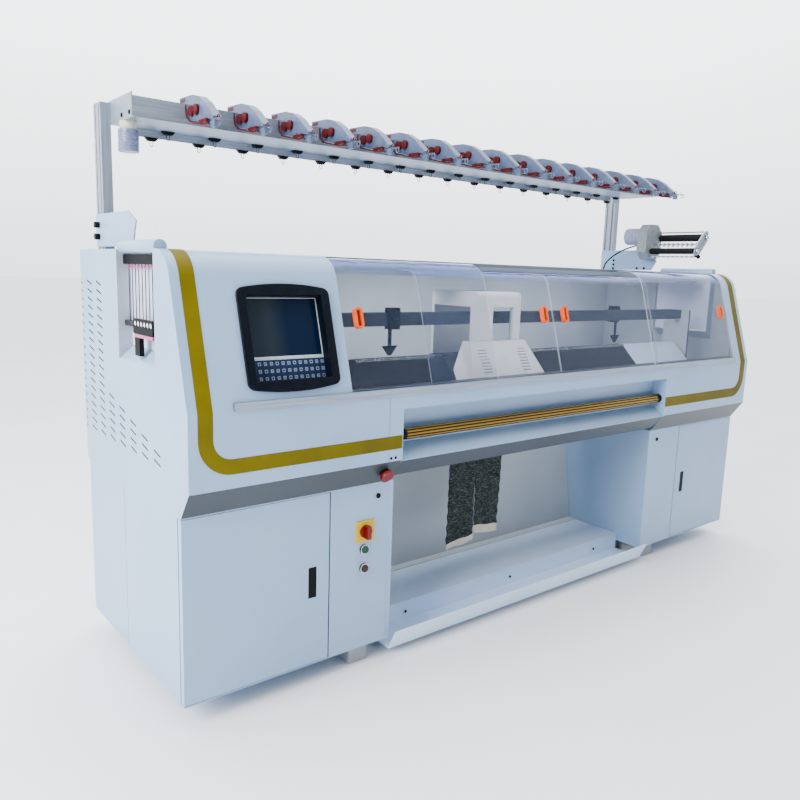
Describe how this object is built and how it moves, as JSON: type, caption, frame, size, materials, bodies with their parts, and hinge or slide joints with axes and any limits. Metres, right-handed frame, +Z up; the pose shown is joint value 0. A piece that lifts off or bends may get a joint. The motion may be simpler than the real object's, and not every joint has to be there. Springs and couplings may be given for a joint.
{
  "type": "flat knitting machine",
  "caption": "Long white flat knitting machine with sliding clear covers, a carriage over sloped needle beds, side cabinets, a fabric bay and a yarn stand with tensioners.",
  "frame": {"origin": "centre of the floor under the machine", "axes": "+X along the needle beds to the operator's right, +Y away from the operator, +Z up"},
  "size_m": [2.6, 0.776, 1.625],
  "materials": {
    "white_paint": "satin powder coat",
    "frame_paint": "satin",
    "white_plastic": "moulded",
    "black_plastic": "moulded",
    "yellow_plastic": "moulded",
    "red_plastic": "moulded",
    "green_plastic": "moulded",
    "gold_tube": "polished",
    "gold_trim": "satin film",
    "dark_bezel": "gloss",
    "display": "screen and keys",
    "clear_cover": "clear",
    "stainless": "brushed",
    "aluminium": "anodised",
    "bed_casting": "painted",
    "bed_steel": "ground, oiled",
    "rubber": "ribbed",
    "knit": "knitted marl",
    "ivory_plastic": "moulded",
    "lamp_lens": "clear ribbed"
  },
  "bodies": {
    "machine": {"left_cabinet": "white_paint", "right_cabinet": "white_paint", "front_panels": "white_paint", "left_end_cover": "white_paint", "right_end_cover": "white_paint", "left_apron": "white_paint", "right_apron": "white_paint", "center_apron": "white_paint", "console_cover": "white_paint", "rear_cover": "white_paint", "fabric_tray": "white_paint", "bay_liner": "white_paint", "post_brackets": "white_paint", "side_feed_hoods": "white_paint", "bed_ends": "white_paint", "base_frame": "frame_paint", "tensioner_bodies": "white_plastic", "panel_plugs": "black_plastic", "yarn_guides": "black_plastic", "side_feed_guides": "black_plastic", "control_collars": "yellow_plastic", "tensioner_discs": "red_plastic", "trim_stripes": "gold_trim", "screen_bezel": "dark_bezel", "display_panel": "display", "cover_tracks": "stainless", "yarn_stand_posts": "aluminium", "yarn_beam": "aluminium", "yarn_rails": "aluminium", "feeder_guide_bars": "aluminium", "feeder_drive": "aluminium", "machine_bed": "bed_casting", "needle_beds": "bed_steel", "motor_cable": "rubber", "knitted_fabric": "knit", "signal_lamp_base": "ivory_plastic", "signal_lamp_lens": "lamp_lens"},
    "main_switch": {"main_switch_knob": "red_plastic"},
    "start_key": {"start_button": "green_plastic"},
    "stop_key": {"stop_button": "red_plastic"},
    "emergency_stop": {"estop_button": "red_plastic"},
    "left_door": {"left_door": "white_paint"},
    "left_latch": {"left_latch": "black_plastic"},
    "right_door": {"right_door": "white_paint"},
    "right_latch": {"right_latch": "black_plastic"},
    "operating_bar": {"operating_bar": "gold_tube"},
    "take_up_arms": {"tension_arms": "stainless"},
    "carriage": {"carriage_cams": "bed_steel", "carriage_cover": "white_plastic", "carriage_bridge": "white_plastic"},
    "cover_1": {"sliding_cover_1": "clear_cover"},
    "cover_2": {"sliding_cover_2": "clear_cover"},
    "cover_3": {"sliding_cover_3": "clear_cover"},
    "cover_4": {"sliding_cover_4": "clear_cover"},
    "carrier_left": {"yarn_carrier_left": "black_plastic"},
    "carrier_right": {"yarn_carrier_right": "black_plastic"},
    "feed_roller_upper": {"feeder_roller_upper": "rubber"},
    "feed_roller_lower": {"feeder_roller_lower": "rubber"},
    "take_down": {"take_down_roller": "rubber"}
  },
  "joints": [
    {"name": "main_switch_turn", "type": "hinge", "parent": "machine", "child": "main_switch", "pos_m": [-0.756, -0.345, 0.416], "axis": [0, 1, 0], "range_deg": [0, 90]},
    {"name": "start_press", "type": "slide", "parent": "machine", "child": "start_key", "axis": [0, 1, 0], "range_m": [0, 0.004], "stiffness_N_per_m": 400},
    {"name": "stop_press", "type": "slide", "parent": "machine", "child": "stop_key", "axis": [0, 1, 0], "range_m": [0, 0.004], "stiffness_N_per_m": 400},
    {"name": "emergency_press", "type": "slide", "parent": "machine", "child": "emergency_stop", "axis": [0, 0.8192, 0.5735], "range_m": [0, 0.005], "stiffness_N_per_m": 800},
    {"name": "left_door_swing", "type": "hinge", "parent": "machine", "child": "left_door", "pos_m": [-1.291, -0.325, 0.3], "axis": [0, 0, -1], "range_deg": [0, 110]},
    {"name": "left_latch_lift", "type": "hinge", "parent": "left_door", "child": "left_latch", "pos_m": [-0.929, -0.3325, 0.3432], "axis": [-1, 0, 0], "range_deg": [0, 35], "stiffness_Nm_per_rad": 0.3},
    {"name": "right_door_swing", "type": "hinge", "parent": "machine", "child": "right_door", "pos_m": [1.291, -0.325, 0.3], "axis": [0, 0, 1], "range_deg": [0, 110]},
    {"name": "right_latch_lift", "type": "hinge", "parent": "right_door", "child": "right_latch", "pos_m": [0.929, -0.3325, 0.3432], "axis": [-1, 0, 0], "range_deg": [0, 35], "stiffness_Nm_per_rad": 0.3},
    {"name": "operating_bar_turn", "type": "hinge", "parent": "machine", "child": "operating_bar", "pos_m": [0, -0.354, 0.69], "axis": [1, 0, 0], "range_deg": [-12, 12], "stiffness_Nm_per_rad": 4},
    {"name": "take_up_swing", "type": "hinge", "parent": "machine", "child": "take_up_arms", "pos_m": [0, 0.046, 1.543], "axis": [1, 0, 0], "range_deg": [-20, 15], "stiffness_Nm_per_rad": 4},
    {"name": "carriage_slide", "type": "slide", "parent": "machine", "child": "carriage", "axis": [1, 0, 0], "range_m": [-0.66, 1]},
    {"name": "cover_1_slide", "type": "slide", "parent": "machine", "child": "cover_1", "axis": [1, 0, 0], "range_m": [0, 0.33]},
    {"name": "cover_2_slide", "type": "slide", "parent": "machine", "child": "cover_2", "axis": [1, 0, 0], "range_m": [-0.32, 0]},
    {"name": "cover_3_slide", "type": "slide", "parent": "machine", "child": "cover_3", "axis": [1, 0, 0], "range_m": [0, 0.53]},
    {"name": "cover_4_slide", "type": "slide", "parent": "machine", "child": "cover_4", "axis": [1, 0, 0], "range_m": [-0.53, 0]},
    {"name": "carrier_left_slide", "type": "slide", "parent": "machine", "child": "carrier_left", "axis": [1, 0, 0], "range_m": [-0.45, 1.1]},
    {"name": "carrier_right_slide", "type": "slide", "parent": "machine", "child": "carrier_right", "axis": [1, 0, 0], "range_m": [-1.1, 0.38]},
    {"name": "feed_upper_turn", "type": "hinge", "parent": "machine", "child": "feed_roller_upper", "pos_m": [1.23, 0, 1.345], "axis": [0, 1, 0], "continuous": true},
    {"name": "feed_lower_turn", "type": "hinge", "parent": "machine", "child": "feed_roller_lower", "pos_m": [1.158, 0, 1.283], "axis": [0, 1, 0], "continuous": true},
    {"name": "take_down_turn", "type": "hinge", "parent": "machine", "child": "take_down", "pos_m": [0, -0.112, 0.598], "axis": [1, 0, 0], "continuous": true}
  ],
  "couplings": [
    {"joint": "feed_lower_turn", "follows": "feed_upper_turn", "ratio": -1}
  ]
}
